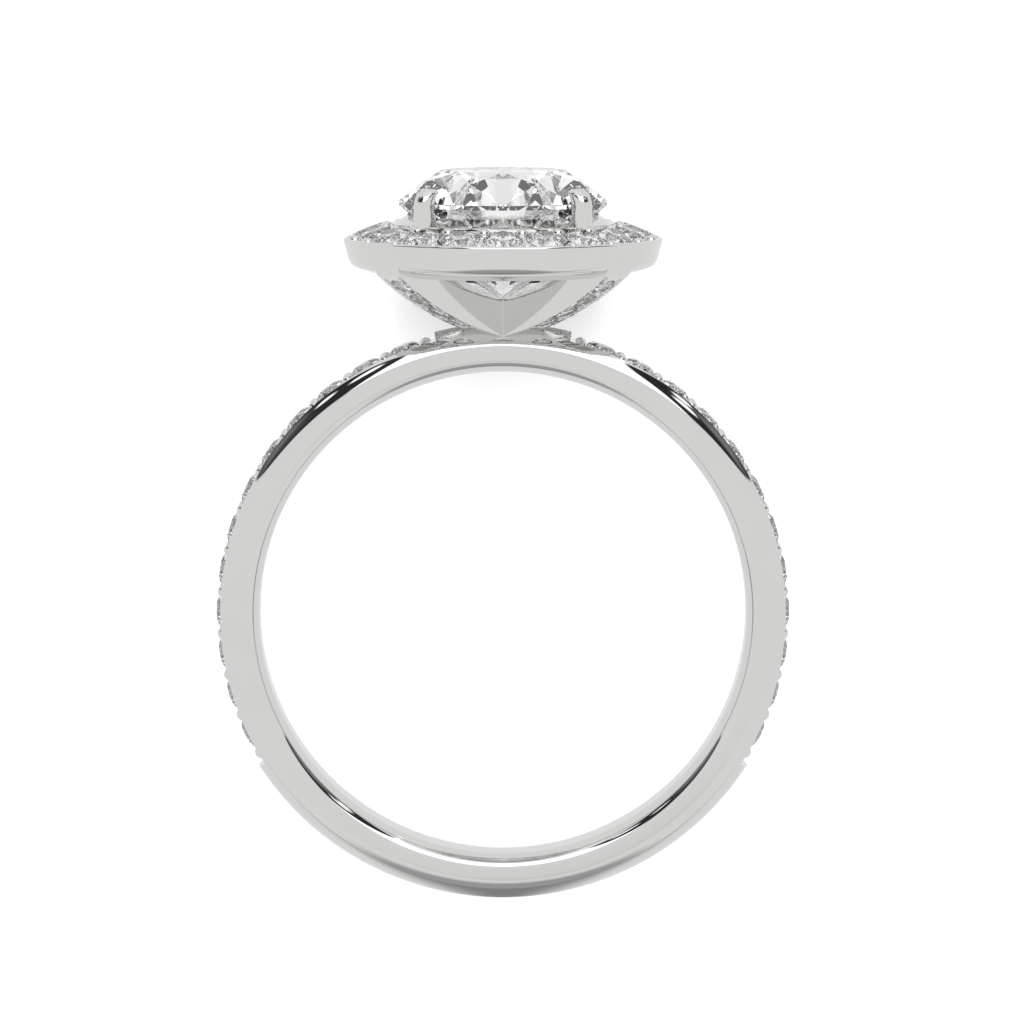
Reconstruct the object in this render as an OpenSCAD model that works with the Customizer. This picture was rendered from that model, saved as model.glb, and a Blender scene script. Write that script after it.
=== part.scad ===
// Round halo ring lying on its side, as it rests on a table.
// The ring is drawn upright about its finger hole, with the hole along Y and the head up,
// and one rest move at the end lays it down. All sizes are in millimetres.

/* [Finger hole and band] */
// Radius of the finger hole
bore_radius = 8.45; // [7:0.05:11]
// Width of the band along the finger
band_width = 2.1; // [1.9:0.05:3]
// Width of the straight middle of the hole's wall
bore_flat_width = 0.8; // [0.5:0.05:1.2]
// How far the rounded inner edges rise from the hole's wall
inner_edge_rise = 0.35; // [0.15:0.05:0.5]
// Height of the flat side faces
side_face_height = 0.6; // [0.5:0.05:1.2]
// Rise of the domed outside above the side faces
crown_rise = 0.7; // [0.6:0.05:0.9]

/* [Stones along the band] */
// Diameter of the band stones
band_stone_diameter = 1.25; // [1:0.05:1.3]
// Number of stones on each side
band_stone_count = 12; // [4:1:13]
// Arc between neighbouring stone centres
band_stone_pitch = 1.48; // [1.45:0.01:1.7]
// Arc from the top of the band to the first stone's centre
band_first_stone = 3.48; // [3.3:0.05:4]
// Depth of the flat that the stones are let into, below the dome
band_cut_depth = 0.3; // [0.24:0.01:0.32]
// Length of the flat past each end stone's centre, as a share of the pitch
band_cut_margin = 0.78; // [0.65:0.01:0.95]
// Height of the stones' tables above the flat
band_table_height = 0.16; // [0.08:0.01:0.2]

/* [Halo] */
// Outer radius of the halo at its rim
halo_radius = 5.52; // [5.3:0.02:6]
// Inner radius of the halo below its collar
halo_inner_radius = 3.72; // [3.6:0.02:3.8]
// How far the plain collar reaches in past that radius
halo_collar_reach = 0.42; // [0.3:0.02:0.46]
// Rise of the collar towards the centre stone
halo_collar_rise = 0.28; // [0.1:0.02:0.28]
// Thickness of the collar
halo_collar_thickness = 0.3; // [0.2:0.05:0.5]
// Height of the outer rim's top above the band's dome
halo_rise = 2.89; // [2.7:0.05:3.6]
// Height of the inner rim's top above the outer rim's top
halo_dish = 0.58; // [0.4:0.02:0.8]
// Height of the halo's underside below the outer rim's top
halo_depth = 1.14; // [1.1:0.02:1.5]
// Lean of the outer wall from upright, in degrees
halo_wall_lean = 15.6; // [8:0.2:20]
// Slope of the outer part of the underside, in degrees
halo_under_slope = 17; // [10:1:24]
// Radius that rounds the wall into the underside
halo_round = 0.4; // [0.25:0.05:0.5]
// Radius of the round lip along the outer rim
halo_lip_radius = 0.1; // [0.06:0.01:0.12]
// How far below the rim's corner the lip leaves the wall
halo_lip_drop = 0.04; // [0.03:0.01:0.08]
// Width of the halo's flat underside, as a share of the halo's width
under_flat_share = 0.38; // [0.3:0.02:0.5]
// Width of the plain rims on each side of the stones
halo_rim_width = 0.14; // [0.1:0.01:0.2]
// Depth of the stone bed below the rims
halo_bed_depth = 0.05; // [0.03:0.01:0.08]
// Number of stones round the halo
halo_stone_count = 20; // [16:4:20]
// Diameter of the halo stones
halo_stone_diameter = 1.3; // [1:0.05:1.3]
// Height of the halo stones' tables above their bed
halo_table_height = 0.18; // [0.08:0.01:0.2]

/* [Centre stone and claws] */
// Diameter of the centre stone
centre_diameter = 7.19; // [6.8:0.01:7.2]
// Height of the stone's girdle above the halo's inner rim
girdle_rise = 0.6; // [0.4:0.05:1]
// Radius of each claw
claw_radius = 0.35; // [0.28:0.01:0.4]
// Distance from the stone's edge out to each claw's axis
claw_offset = 0.13; // [0.08:0.01:0.2]
// Height of each claw's rounded tip above the girdle
claw_tip_rise = 0.68; // [0.5:0.02:0.8]
// How far each claw's tip leans in over the stone
claw_tip_lean = 0.14; // [0.05:0.01:0.2]

/* [Gallery ribs] */
// Turn of each rib out of the band's plane, in degrees
rib_turn = 42; // [41:0.5:46]
// Width of each rib
rib_width = 1.2; // [1.1:0.02:1.3]
// Upright thickness of the ribs where they cross
rib_depth = 1.24; // [1.1:0.02:1.3]
// Depth of the crossing's underside below the band's dome
rib_foot_depth = 0.52; // [0.4:0.02:0.6]
// Slope at which each rib's lower side leaves the crossing, in degrees
rib_start_slope = 11.4; // [9:0.2:13]
// Slope at which each rib's upper side leaves the crossing, in degrees
rib_top_slope = 7.3; // [5:0.1:8]
// Radius of the curve along each rib's upper side
rib_top_arc = 10.8; // [10.6:0.1:12]
// Drop of each rib's outer end below the corner of the halo's wall and underside
rib_end_drop = 0.15; // [0.1:0.01:0.25]
// Distance of the ribs' outer ends inside the halo's leaning wall
rib_inset = 0.03; // [0.03:0.01:0.1]
// Radius of the round ridge along each rib's upper side
rib_ridge_radius = 0.48; // [0.3:0.01:0.5]
// Height of the ridges above the ribs' upper side where they cross
rib_ridge_rise = 0.14; // [0.05:0.01:0.15]
// Slope of the ridges, in degrees
rib_ridge_slope = 20; // [16:0.5:21]
// Number of stones under each rib
rib_stone_count = 4; // [3:1:4]
// Diameter of the rib stones
rib_stone_diameter = 0.82; // [0.7:0.02:0.86]
// Arc between neighbouring rib stones
rib_stone_pitch = 0.98; // [0.96:0.01:1.02]
// Arc from the rib's outer end to the first rib stone's centre
rib_first_stone = 0.75; // [0.7:0.01:0.8]
// Depth of the rib stones' tables below the rib's face
rib_table_depth = 0.03; // [0:0.01:0.06]

/* [Stone cut] */
// Width of the table as a share of the diameter
table_share = 0.595; // [0.53:0.005:0.64]
// Slope of the main facets above the girdle, in degrees
crown_angle = 36.2; // [32:0.2:37]
// Slope of the main facets below the girdle, in degrees
pavilion_angle = 41.2; // [40:0.1:41.4]
// Thickness of the girdle as a share of the diameter
girdle_share = 0.022; // [0.02:0.002:0.05]
// Where the star facets end, as a share of the way from table to girdle
star_share = 0.52; // [0.45:0.01:0.6]
// Where the lower girdle facets end, as a share of the radius from the point
lower_share = 0.24; // [0.18:0.01:0.35]

/* [Seats and beads] */
// Clearance between each stone and its seat
seat_clearance = 0.02; // [0.015:0.005:0.03]
// Radius of the beads beside the band stones
band_bead_radius = 0.24; // [0.2:0.01:0.26]
// Distance of those beads from the band's middle, as a share of the flat's half width
band_bead_share = 0.66; // [0.6:0.02:0.7]
// Radius of the beads beside the halo stones
halo_bead_radius = 0.22; // [0.18:0.01:0.25]
// Distance of the halo's outer beads from the middle of the stone bed
halo_bead_out = 0.58; // [0.5:0.01:0.6]
// Distance of the halo's inner beads from the middle of the stone bed
halo_bead_in = 0.56; // [0.5:0.01:0.6]
// Radius of the beads beside the rib stones
rib_bead_radius = 0.13; // [0.1:0.01:0.15]
// Distance of those beads' centres inside the rib's sides
rib_bead_inset = 0.18; // [0.16:0.01:0.2]
// Rise of those beads' tops above the rib's face
rib_bead_rise = 0.03; // [0.01:0.01:0.06]
// Height of the band's and halo's bead tops below their stones' tables
bead_drop = 0.02; // [0:0.01:0.04]
// Radius of the light holes through the ribs, as a share of the stone's radius
light_hole_share = 0.55; // [0.4:0.05:0.65]
// Number of stones under each rib that lie below the halo and have no light hole
blind_stone_count = 2; // [1:1:4]

/* [Quality] */
// Sides used for round shapes on screen
round_sides = 48; // [24:8:128]

/* [Hidden] */
$fn = round_sides;
// Small overlap that keeps joined shapes joined, and cutters past the face they cut
overlap = 0.05;
half_width = band_width / 2;
half_flat = bore_flat_width / 2;
side_face_radius = bore_radius + inner_edge_rise + side_face_height;
crown_radius = side_face_radius + crown_rise;
dome_arc = (half_width * half_width + crown_rise * crown_rise) / (2 * crown_rise);
dome_centre = crown_radius - dome_arc;
edge_reach = half_width - half_flat;
edge_arc = (edge_reach * edge_reach + inner_edge_rise * inner_edge_rise) / (2 * inner_edge_rise);

// Band stones: the flat they stand in and the angles they stand at
band_flat_radius = crown_radius - band_cut_depth;
band_flat_half = sqrt(dome_arc * dome_arc - pow(band_flat_radius - dome_centre, 2));
band_pitch_angle = band_stone_pitch / band_flat_radius * 180 / PI;
band_first_angle = band_first_stone / band_flat_radius * 180 / PI;
band_last_angle = band_first_angle + (band_stone_count - 1) * band_pitch_angle;
band_cut_start = band_first_angle - band_cut_margin * band_pitch_angle;
band_cut_end = band_last_angle + band_cut_margin * band_pitch_angle;
band_bead_side = band_flat_half * band_bead_share;

// Halo heights and the corner where its wall meets its underside
rim_top = crown_radius + halo_rise;
inner_rim_top = rim_top + halo_dish;
under_z = rim_top - halo_depth;
under_flat_radius = halo_inner_radius + (halo_radius - halo_inner_radius) * under_flat_share;
wall_run = tan(halo_wall_lean);
under_rise = tan(halo_under_slope);
corner_r = (halo_radius - wall_run * halo_depth - wall_run * under_rise * under_flat_radius)
    / (1 - wall_run * under_rise);
corner_z = under_z + under_rise * (corner_r - under_flat_radius);
// Directions up the wall, in from the wall, and in along the underside
wall_dir = [sin(halo_wall_lean), cos(halo_wall_lean)];
wall_in = [-wall_dir[1], wall_dir[0]];
under_dir = [-cos(halo_under_slope), -sin(halo_under_slope)];
corner_turn = acos(wall_dir * under_dir);
round_reach = halo_round / tan(corner_turn / 2);
round_start = [corner_r, corner_z] + wall_dir * round_reach;
round_end = [corner_r, corner_z] + under_dir * round_reach;
round_centre = round_start + wall_in * halo_round;
lip_start = [halo_radius, rim_top] - wall_dir * halo_lip_drop;
lip_centre = lip_start + wall_in * halo_lip_radius;

// Halo stone bed between the two rims
bed_out = [halo_radius - halo_rim_width, rim_top - halo_bed_depth];
bed_in = [halo_inner_radius + halo_rim_width, inner_rim_top - halo_bed_depth];
bed_slope = atan2(bed_in[1] - bed_out[1], bed_out[0] - bed_in[0]);
bed_mid = (bed_out + bed_in) / 2;
collar_r = halo_inner_radius - halo_collar_reach;
collar_top = inner_rim_top + halo_collar_rise;

// Centre stone
centre_radius = centre_diameter / 2;
girdle_z = inner_rim_top + girdle_rise;
claw_axis = centre_radius + claw_offset;

// Lower side of a rib: leaves the crossing at a slope and ends below the halo, in line with its wall
rib_foot = crown_radius - rib_foot_depth;
rib_up = round_start + wall_in * rib_inset;
rib_low = rib_up - wall_dir * (rib_up[1] - rib_foot + overlap) / wall_dir[1];
rib_end = rib_up - wall_dir * (rib_up[1] - corner_z + rib_end_drop) / wall_dir[1];
rib_climb = rib_end[1] - rib_foot;
rib_arc = (rib_end[0] * rib_end[0] + rib_climb * rib_climb)
    / (2 * (rib_climb * cos(rib_start_slope) - rib_end[0] * sin(rib_start_slope)));
rib_centre = [-rib_arc * sin(rib_start_slope), rib_foot + rib_arc * cos(rib_start_slope)];
rib_end_angle = asin((rib_end[0] - rib_centre[0]) / rib_arc);
rib_step = rib_stone_pitch / rib_arc * 180 / PI;
rib_first_angle = rib_end_angle - rib_first_stone / rib_arc * 180 / PI;
// Upper side of a rib and the end of its ridge inside the halo
rib_top = rib_foot + rib_depth;
rib_top_centre = [-rib_top_arc * sin(rib_top_slope), rib_top + rib_top_arc * cos(rib_top_slope)];
rib_ridge_end = (halo_inner_radius + under_flat_radius) / 2;

// Heights of a cut stone above the underside of its girdle
function girdle_top(d) = d * girdle_share;
function table_top(d) = girdle_top(d) + d / 2 * (1 - table_share) * tan(crown_angle);
function point_depth(d) = d / 2 * tan(pavilion_angle);

// Rest pose: the halo's lip and the band's lower edge both touch the table
rest_run = lip_centre[0] - half_width;
rest_rise = lip_centre[1] + side_face_radius;
rest_tilt = atan(rest_run / rest_rise) + asin(halo_lip_radius / norm([rest_run, rest_rise]));
rest_lift = half_width * cos(rest_tilt) + side_face_radius * sin(rest_tilt);
// The shift that brings the middle of the resting ring's length over the origin
head_end = (girdle_z + table_top(centre_diameter)) * cos(rest_tilt)
    + centre_radius * table_share * sin(rest_tilt);
tail_end = dome_centre * cos(rest_tilt) + dome_arc;
rest_shift = (tail_end - head_end) / 2;

// A ring of points at one radius and height, starting at a turn given in degrees
function ring_points(r, z, n, turn) =
    [for (i = [0:n - 1]) [r * cos(turn + 360 * i / n), r * sin(turn + 360 * i / n), z]];

// Which piece to draw

// Lays the upright ring down on the table
module rest_pose() {
    translate([0, rest_shift, rest_lift])
        rotate([rest_tilt - 90, 0, 0])
            children();
}

// Copies a thing to the band's stone places on both sides, at whole or half steps
module along_band(places) {
    for (side = [-1, 1])
        for (k = places)
            rotate([0, side * (band_first_angle + k * band_pitch_angle), 0])
                children();
}

// Copies a thing round the halo, turned to stand square to the stone bed
module round_halo(half_step) {
    for (k = [0:halo_stone_count - 1])
        rotate([0, 0, -90 + (k + half_step) * 360 / halo_stone_count])
            translate([bed_mid[0], 0, bed_mid[1]])
                rotate([0, bed_slope, 0])
                    children();
}

// Copies a thing to four places, each turned by an angle out of the band's plane
module four_ways(turn) {
    for (end = [0, 180])
        for (side = [-1, 1])
            rotate([0, 0, end + side * turn])
                children();
}

// Copies a thing to the rib's stone places, facing out of the rib's lower face
module along_rib(places) {
    four_ways(rib_turn)
        for (k = places)
            translate([rib_centre[0], 0, rib_centre[1]])
                rotate([0, -(rib_first_angle - k * rib_step), 0])
                    translate([0, 0, -rib_arc])
                        rotate([180, 0, 0])
                            children();
}

// A brilliant with its table up and the underside of its girdle at z = 0
module cut_stone(d) {
    n = 8;
    half_step = 180 / n;
    r = d / 2;
    table_r = r * table_share;
    star_r = table_r + (r - table_r) * star_share;
    lower_r = r * lower_share;
    star_z = table_top(d) - (star_r * cos(half_step) - table_r) * tan(crown_angle);
    lower_z = -(r - lower_r * cos(half_step)) * tan(pavilion_angle);
    // Rings of points: table, stars, girdle top, girdle foot, lower ends and the point
    points = concat(
        ring_points(table_r, table_top(d), n, 0),
        ring_points(star_r, star_z, n, half_step),
        ring_points(r, girdle_top(d), 2 * n, 0),
        ring_points(r, 0, 2 * n, 0),
        ring_points(lower_r, lower_z, n, half_step),
        [[0, 0, -point_depth(d)]]);
    star = n;
    top = star + n;
    foot = top + 2 * n;
    lower = foot + 2 * n;
    tip = lower + n;
    faces = concat(
        [[for (i = [n - 1:-1:0]) i]],
        [for (i = [0:n - 1]) [i, (i + 1) % n, star + i]],
        [for (i = [0:n - 1]) [i, star + i, top + 2 * i, star + (i + n - 1) % n]],
        [for (i = [0:n - 1]) [star + i, top + 2 * i + 1, top + 2 * i]],
        [for (i = [0:n - 1]) [star + i, top + (2 * i + 2) % (2 * n), top + 2 * i + 1]],
        [for (i = [0:2 * n - 1])
            [top + i, top + (i + 1) % (2 * n), foot + (i + 1) % (2 * n), foot + i]],
        [for (i = [0:n - 1]) [foot + 2 * i, foot + 2 * i + 1, lower + i]],
        [for (i = [0:n - 1]) [foot + 2 * i + 1, foot + (2 * i + 2) % (2 * n), lower + i]],
        [for (i = [0:n - 1]) [foot + 2 * i, lower + i, tip, lower + (i + n - 1) % n]]);
    polyhedron(points = points, faces = faces, convexity = 4);
}

// The space a small stone needs: its seat, and the way in from above
module stone_seat(d, way_in) {
    r = d / 2 + seat_clearance;
    rotate_extrude()
        polygon([[0, -r * tan(pavilion_angle)], [r, 0], [r, way_in], [0, way_in]]);
}

// The space the centre stone needs, closed above so that the claw tips stay over it
module centre_seat() {
    r = centre_radius + seat_clearance;
    top_r = centre_radius * table_share;
    top_z = table_top(centre_diameter) + seat_clearance;
    rotate_extrude()
        polygon([[0, -r * tan(pavilion_angle) - seat_clearance], [r, -seat_clearance],
            [r, girdle_top(centre_diameter) + seat_clearance], [top_r + seat_clearance, top_z],
            [0, top_z]]);
}

// Cross section of the band: domed outside, flat sides, rounded inner edges
module band_section() {
    intersection() {
        translate([dome_centre, 0])
            circle(dome_arc);
        translate([bore_radius, -half_width])
            square([crown_radius - bore_radius, band_width]);
        union() {
            translate([bore_radius, -half_flat])
                square([crown_radius - bore_radius, bore_flat_width]);
            for (side = [-1, 1])
                translate([bore_radius + edge_arc, side * half_flat])
                    circle(edge_arc);
        }
    }
}

// Cross section of the halo, from its inner wall and collar to its leaning outer wall
module halo_section() {
    polygon([[halo_inner_radius, under_z], [under_flat_radius, under_z], round_end, round_centre,
        round_start, lip_start, lip_centre, bed_out, bed_in, [bed_in[0], inner_rim_top],
        [halo_inner_radius, inner_rim_top], [collar_r, collar_top],
        [collar_r, collar_top - halo_collar_thickness],
        [halo_inner_radius, inner_rim_top - halo_collar_reach]]);
    translate(round_centre)
        circle(halo_round);
    translate(lip_centre)
        circle(halo_lip_radius);
}

// One bar of the gallery: two opposite ribs seen from the side
module rib_side() {
    difference() {
        intersection() {
            translate(rib_centre)
                circle(rib_arc);
            polygon([[0, rib_foot - overlap], rib_low, rib_up, [0, rib_up[1]]]);
        }
        translate(rib_top_centre)
            circle(rib_top_arc);
    }
}

module band_body() {
    rotate([90, 0, 0])
        rotate_extrude()
            band_section();
}

// The flat cut across the dome on one side, where the stones stand
module band_flat_cut() {
    rotate([90, 0, 0])
        rotate([0, 0, 90 - band_cut_end])
            rotate_extrude(angle = band_cut_end - band_cut_start)
                translate([band_flat_radius, -half_width])
                    square([band_cut_depth + overlap, band_width]);
}

// The round ridge along one rib, from past the crossing into the halo
module rib_ridge() {
    run = (rib_ridge_end - rib_ridge_radius * sin(rib_ridge_slope)) / cos(rib_ridge_slope);
    translate([0, 0, rib_top + rib_ridge_rise])
        rotate([0, 90 - rib_ridge_slope, 0])
            translate([rib_ridge_radius, 0, -rib_ridge_radius])
                cylinder(r = rib_ridge_radius, h = run + rib_ridge_radius);
}

module gallery_rib() {
    rotate([90, 0, 0])
        translate([0, 0, -rib_width / 2])
            linear_extrude(rib_width)
                rib_side();
    rib_ridge();
}

// One claw: a round post out of the rib, with a rounded tip leaning over the stone
module claw() {
    foot_z = under_z - rib_ridge_radius;
    tip_z = girdle_z + claw_tip_rise - claw_radius;
    translate([claw_axis, 0, foot_z])
        cylinder(r = claw_radius, h = tip_z - foot_z);
    translate([claw_axis, 0, tip_z])
        sphere(claw_radius);
    translate([claw_axis - claw_tip_lean, 0, tip_z])
        sphere(claw_radius);
}

// Beads that stand between neighbouring stones
module band_beads() {
    top = band_flat_radius + band_table_height - bead_drop;
    along_band([for (k = [0:band_stone_count]) k - 0.5])
        for (side = [-1, 1])
            translate([0, side * band_bead_side, top - band_bead_radius])
                sphere(band_bead_radius);
}

module halo_beads() {
    top = halo_table_height - bead_drop;
    round_halo(0.5)
        for (x = [halo_bead_out, -halo_bead_in])
            translate([x, 0, top - halo_bead_radius])
                sphere(halo_bead_radius);
}

module rib_beads() {
    along_rib([for (k = [0:rib_stone_count]) k - 0.5])
        for (side = [-1, 1])
            translate([0, side * (rib_width / 2 - rib_bead_inset), rib_bead_rise - rib_bead_radius])
                sphere(rib_bead_radius);
}

// The lifts that bring each stone's table to its named height above its bed
band_seat_lift = band_flat_radius + band_table_height - table_top(band_stone_diameter);
halo_seat_lift = halo_table_height - table_top(halo_stone_diameter);
rib_seat_lift = -rib_table_depth - table_top(rib_stone_diameter);
light_hole_length = rib_depth + rib_ridge_radius;

// All metal before the seats are cut
module metal_body() {
    difference() {
        band_body();
        band_flat_cut();
        mirror([1, 0, 0])
            band_flat_cut();
    }
    rotate_extrude()
        halo_section();
    four_ways(rib_turn)
        gallery_rib();
    four_ways(45)
        claw();
    band_beads();
    halo_beads();
    rib_beads();
}

// The band, halo, ribs, claws and beads as one soldered piece of metal
module ring_metal() {
    color("gainsboro")
        rest_pose()
            difference() {
                metal_body();
                along_band([0:band_stone_count - 1])
                    translate([0, 0, band_seat_lift])
                        stone_seat(band_stone_diameter, band_cut_depth + band_bead_radius);
                round_halo(0)
                    translate([0, 0, halo_seat_lift])
                        stone_seat(halo_stone_diameter, halo_bead_radius * 2);
                along_rib([0:rib_stone_count - 1])
                    translate([0, 0, rib_seat_lift])
                        stone_seat(rib_stone_diameter, rib_bead_radius * 2);
                along_rib([blind_stone_count:rib_stone_count - 1])
                    translate([0, 0, -light_hole_length])
                        cylinder(r = rib_stone_diameter / 2 * light_hole_share,
                            h = light_hole_length - overlap);
                translate([0, 0, girdle_z])
                    centre_seat();
            }
}

module centre_stone() {
    color("white")
        rest_pose()
            translate([0, 0, girdle_z])
                cut_stone(centre_diameter);
}

module halo_stones() {
    color("azure")
        rest_pose()
            round_halo(0)
                translate([0, 0, halo_seat_lift])
                    cut_stone(halo_stone_diameter);
}

module band_stones() {
    color("azure")
        rest_pose()
            along_band([0:band_stone_count - 1])
                translate([0, 0, band_seat_lift])
                    cut_stone(band_stone_diameter);
}

module rib_stones() {
    color("azure")
        rest_pose()
            along_rib([0:rib_stone_count - 1])
                translate([0, 0, rib_seat_lift])
                    cut_stone(rib_stone_diameter);
}

ring_metal();
centre_stone();
halo_stones();
band_stones();
rib_stones();
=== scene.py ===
import math

import bpy
from mathutils import Matrix, Vector


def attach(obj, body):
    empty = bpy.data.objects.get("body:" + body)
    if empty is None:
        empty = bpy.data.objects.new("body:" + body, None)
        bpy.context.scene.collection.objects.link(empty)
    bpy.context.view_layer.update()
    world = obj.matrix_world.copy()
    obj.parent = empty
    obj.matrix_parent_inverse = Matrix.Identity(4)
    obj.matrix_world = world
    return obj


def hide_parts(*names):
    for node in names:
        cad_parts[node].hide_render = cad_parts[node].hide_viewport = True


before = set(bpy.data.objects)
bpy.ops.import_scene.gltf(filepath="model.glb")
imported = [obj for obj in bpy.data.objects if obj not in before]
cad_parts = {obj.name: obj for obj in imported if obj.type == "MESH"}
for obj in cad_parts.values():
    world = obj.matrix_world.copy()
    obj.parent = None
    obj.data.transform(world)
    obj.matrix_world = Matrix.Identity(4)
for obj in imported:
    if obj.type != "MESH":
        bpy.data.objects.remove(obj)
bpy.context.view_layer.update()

# How the resting ring lies: turn out of upright in degrees, then shift and lift in metres
REST_TILT = 11.283403
REST_SHIFT = -0.002794005
REST_LIFT = 0.002868929

# The camera, given about the upright ring: distance in front, height, and tilt down in degrees
CAMERA_BACK = 0.1493
CAMERA_HEIGHT = 0.02219
CAMERA_DIP = 7.13
CAMERA_LENS = 152.26
CAMERA_SENSOR = 36
CAMERA_SHIFT = 0.0088
CAMERA_CLIP = (0.005, 20)

# Sizes of the upright ring are in millimetres
MM = 0.001
# Edges that turn by more than this many degrees stay sharp
SHARP = 30
# How far a cutting tool reaches past the face it cuts
OVER = 0.05

# Band
BORE_RADIUS = 8.45
HALF_BAND = 1.05
HALF_BORE_FLAT = 0.4
EDGE_RISE = 0.35
SIDE_RADIUS = 9.4
CROWN_RISE = 0.7
CROWN_RADIUS = SIDE_RADIUS + CROWN_RISE
DOME_ARC = (HALF_BAND**2 + CROWN_RISE**2) / (2 * CROWN_RISE)
DOME_CENTRE = CROWN_RADIUS - DOME_ARC
EDGE_ARC = ((HALF_BAND - HALF_BORE_FLAT) ** 2 + EDGE_RISE**2) / (2 * EDGE_RISE)
# Soft corners that run the side faces into the inner edges and into the dome
INNER_CORNER = 0.33
OUTER_CORNER = 0.72

# Flats along the sides of the band, and the stones that stand in them
BAND_FLAT_RADIUS = CROWN_RADIUS - 0.3
BAND_FLAT_HALF = math.sqrt(DOME_ARC**2 - (BAND_FLAT_RADIUS - DOME_CENTRE) ** 2)
BAND_STONES = 12
BAND_STONE = 1.25
BAND_STEP = math.degrees(1.48 / BAND_FLAT_RADIUS)
BAND_FIRST = math.degrees(3.48 / BAND_FLAT_RADIUS)
BAND_MARGIN = 0.78
BAND_TABLE = 0.16
BAND_SEAT_RISE = 0.6
BAND_BEAD = 0.24
BAND_BEAD_SIDE = BAND_FLAT_HALF * 0.66

# Halo
HALO_RADIUS = 5.52
HALO_INNER = 3.72
COLLAR_REACH = 0.42
COLLAR_RISE = 0.28
COLLAR_THICK = 0.3
RIM_TOP = CROWN_RADIUS + 2.89
INNER_RIM_TOP = RIM_TOP + 0.58
HALO_UNDER = RIM_TOP - 1.14
WALL_LEAN = math.radians(15.6)
UNDER_SLOPE = math.radians(17)
UNDER_FLAT = HALO_INNER + (HALO_RADIUS - HALO_INNER) * 0.38
HALO_ROUND = 0.4
UNDER_ROUND = 0.3
LIP_RADIUS = 0.1
LIP_DROP = 0.04
RIM_WIDTH = 0.14
BED_DEPTH = 0.05
HALO_STONES = 20
HALO_STONE = 1.3
HALO_TABLE = 0.18
HALO_SEAT_RISE = 0.5
HALO_BEAD = 0.22
HALO_BEAD_PLACES = (0.58, -0.56)
# How far bead tops lie below the tables of the stones beside them
BEAD_DROP = 0.02

# Centre stone and its claws
CENTRE_RADIUS = 7.19 / 2
GIRDLE_Z = INNER_RIM_TOP + 0.6
CLAW_TURN = 45
CLAW_SIDES = 48
CLAW_RADIUS = 0.35
CLAW_AXIS = CENTRE_RADIUS + 0.18
CLAW_TIP = GIRDLE_Z + 0.68
# A claw bends in below its tip: where the bend starts, its radius and its end in degrees
CLAW_BEND_DROP = 0.62
CLAW_BEND = 0.74
CLAW_BEND_END = 32
CLAW_BEND_STEPS = 8
# The cap past the bend as (height below the tip, front's way in, radius)
CLAW_CAP = [
    (0.19, 0.155, 0.348),
    (0.15, 0.199, 0.34),
    (0.11, 0.244, 0.322),
    (0.075, 0.282, 0.295),
    (0.045, 0.316, 0.255),
    (0.022, 0.371, 0.2),
    (0.007, 0.438, 0.12),
    (0.0, 0.546, 0.02),
]

# Gallery ribs
RIB_TURN = 42
RIB_WIDTH = 1.2
RIB_FOOT = CROWN_RADIUS - 0.52
RIB_TOP = RIB_FOOT + 1.24
RIB_SLOPE = math.radians(11.4)
RIB_TOP_SLOPE = math.radians(7.3)
RIB_TOP_ARC = 10.8
RIB_END_DROP = 0.15
RIB_INSET = 0.03
RIDGE_RADIUS = 0.48
RIDGE_RISE = 0.14
RIDGE_SLOPE = math.radians(20)
RIB_STONES = 4
RIB_STONE = 0.82
RIB_PITCH = 0.98
RIB_FIRST = 0.75
RIB_TABLE = -0.03
RIB_SEAT_RISE = 0.3
RIB_BEAD = 0.13
RIB_BEAD_SIDE = RIB_WIDTH / 2 - 0.18
RIB_BEAD_RISE = 0.03
RIB_ROUND = 0.045
# The channel that each rib's stones are let into
CHANNEL_HALF = 0.44
CHANNEL_DEPTH = 0.045
# Stones of a rib with a light hole behind them, and the hole's width as a share of the stone's
HOLE_STONES = (2, 3)
HOLE_SHARE = 0.55

# The cut of the stones, for the seats they stand in
TABLE_SHARE = 0.595
CROWN_TAN = math.tan(math.radians(36.2))
POINT_TAN = math.tan(math.radians(41.2))
GIRDLE_SHARE = 0.022
SEAT_GAP = 0.02

# How finely round forms are made: steps along an arc or a spin, and sides round a post
CORNER_STEPS = 8
DOME_STEPS = 24
DOME_EDGE_STEPS = 4
# The band's stretches: plain top, each side with its flats, and plain bottom
BAND_STEPS = (24, 88, 96)
UNDER_STEPS = 3
LIP_STEPS = 20
HALO_STEPS = 192
RIB_STEPS = 24
CHANNEL_STEPS = 32
SEAT_STEPS = 32
ROOM_STEPS = 96
HOLE_SIDES = 32
RIDGE_SIDES = 96
BEAD_SIDES = 24

# Places worked out from the sizes above, as (radius or run, height) in millimetres
WALL_RUN = math.tan(WALL_LEAN)
UNDER_RISE = math.tan(UNDER_SLOPE)
WALL_UP = Vector((math.sin(WALL_LEAN), math.cos(WALL_LEAN)))
WALL_IN = Vector((-WALL_UP[1], WALL_UP[0]))
UNDER_IN = Vector((-math.cos(UNDER_SLOPE), -math.sin(UNDER_SLOPE)))
CORNER_R = HALO_RADIUS - WALL_RUN * (RIM_TOP - HALO_UNDER) - WALL_RUN * UNDER_RISE * UNDER_FLAT
CORNER_R /= 1 - WALL_RUN * UNDER_RISE
CORNER = Vector((CORNER_R, HALO_UNDER + UNDER_RISE * (CORNER_R - UNDER_FLAT)))
ROUND_REACH = HALO_ROUND / math.tan(WALL_UP.angle(UNDER_IN) / 2)
ROUND_START = CORNER + WALL_UP * ROUND_REACH
ROUND_CENTRE = ROUND_START + WALL_IN * HALO_ROUND
LIP_CENTRE = Vector((HALO_RADIUS, RIM_TOP)) - WALL_UP * LIP_DROP + WALL_IN * LIP_RADIUS
BED_OUT = Vector((HALO_RADIUS - RIM_WIDTH, RIM_TOP - BED_DEPTH))
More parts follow.
